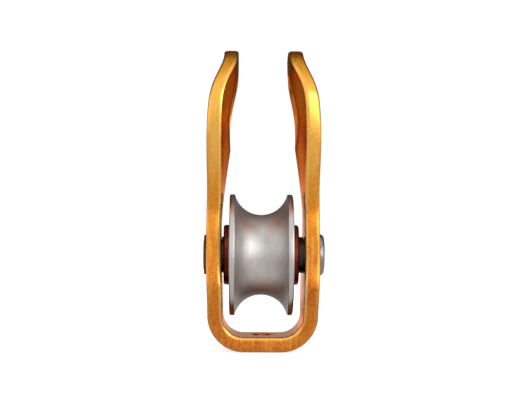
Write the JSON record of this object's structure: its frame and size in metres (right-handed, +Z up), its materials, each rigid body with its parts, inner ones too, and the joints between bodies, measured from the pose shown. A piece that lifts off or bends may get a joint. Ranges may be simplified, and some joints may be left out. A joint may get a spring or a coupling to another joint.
{
  "type": "single sheave block",
  "caption": "Single sheave block: a bent side plate with a connector eye carries a grooved sheave that turns and floats on its axle.",
  "frame": {"origin": "centre of the closed end's outer face, at the mouth of the small hole through it", "axes": "+Z up from the closed end to the connector eye, X along the sheave's axle, Y across the side plate"},
  "size_m": [0.032, 0.0318, 0.0784],
  "materials": {
    "anodised_plate": "orange-gold anodised, satin, rolled grain",
    "sheave_metal": "turned and polished, satin",
    "sintered_bronze": "dark oil-filled sintered bronze, matt",
    "axle_steel": "hardened and ground, dark",
    "rivet_steel": "polished stainless steel",
    "washer_steel": "dull stainless steel"
  },
  "bodies": {
    "frame": {"side_plate": "anodised_plate", "axle_sleeve": "axle_steel", "axle_pin": "rivet_steel", "rivet_washer": "washer_steel"},
    "bushings": {"bushing_left": "sintered_bronze", "bushing_right": "sintered_bronze"},
    "sheave": {"sheave": "sheave_metal"}
  },
  "joints": [
    {"name": "sheave_float", "type": "slide", "parent": "frame", "child": "bushings", "axis": [1, 0, 0], "range_m": [-0.00036, 0.00116]},
    {"name": "sheave_spin", "type": "hinge", "parent": "bushings", "child": "sheave", "pos_m": [-0.0004, 0, 0.02475], "axis": [1, 0, 0], "continuous": true}
  ]
}
